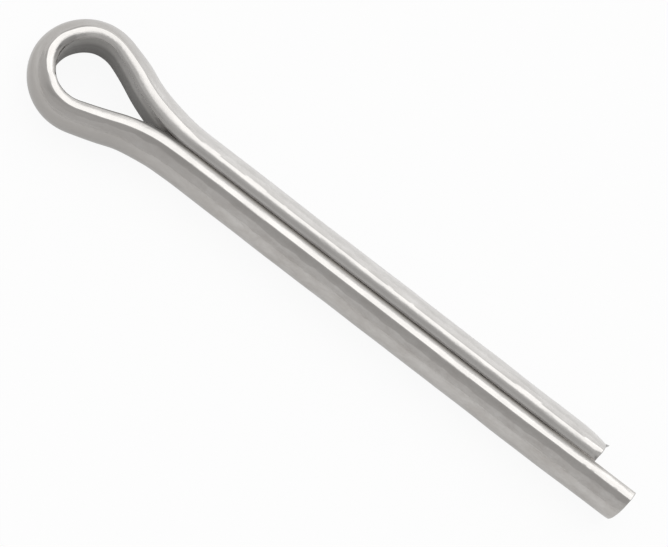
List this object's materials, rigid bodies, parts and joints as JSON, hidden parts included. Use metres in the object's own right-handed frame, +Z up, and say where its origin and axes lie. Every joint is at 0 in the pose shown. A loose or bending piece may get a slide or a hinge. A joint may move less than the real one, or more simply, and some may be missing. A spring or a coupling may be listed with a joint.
{
  "type": "cotter pin",
  "caption": "Extended prong cotter pin: half-round steel wire bent into an eye, its legs closed flat to flat into a round shank.",
  "frame": {"origin": "on the shank's axis at the seat under the eye, where the spreading necks fill the hole that the pin goes through", "axes": "+X along the shank towards the leg ends, -Y towards the long leg's side, +Z up, square to the plane of the eye"},
  "size_m": [0.0434, 0.0072, 0.0032],
  "materials": {
    "steel": "bright drawn wire, faint streaks along the wire, no plating colour"
  },
  "bodies": {
    "root": {"cotter_pin": "steel"}
  },
  "joints": []
}
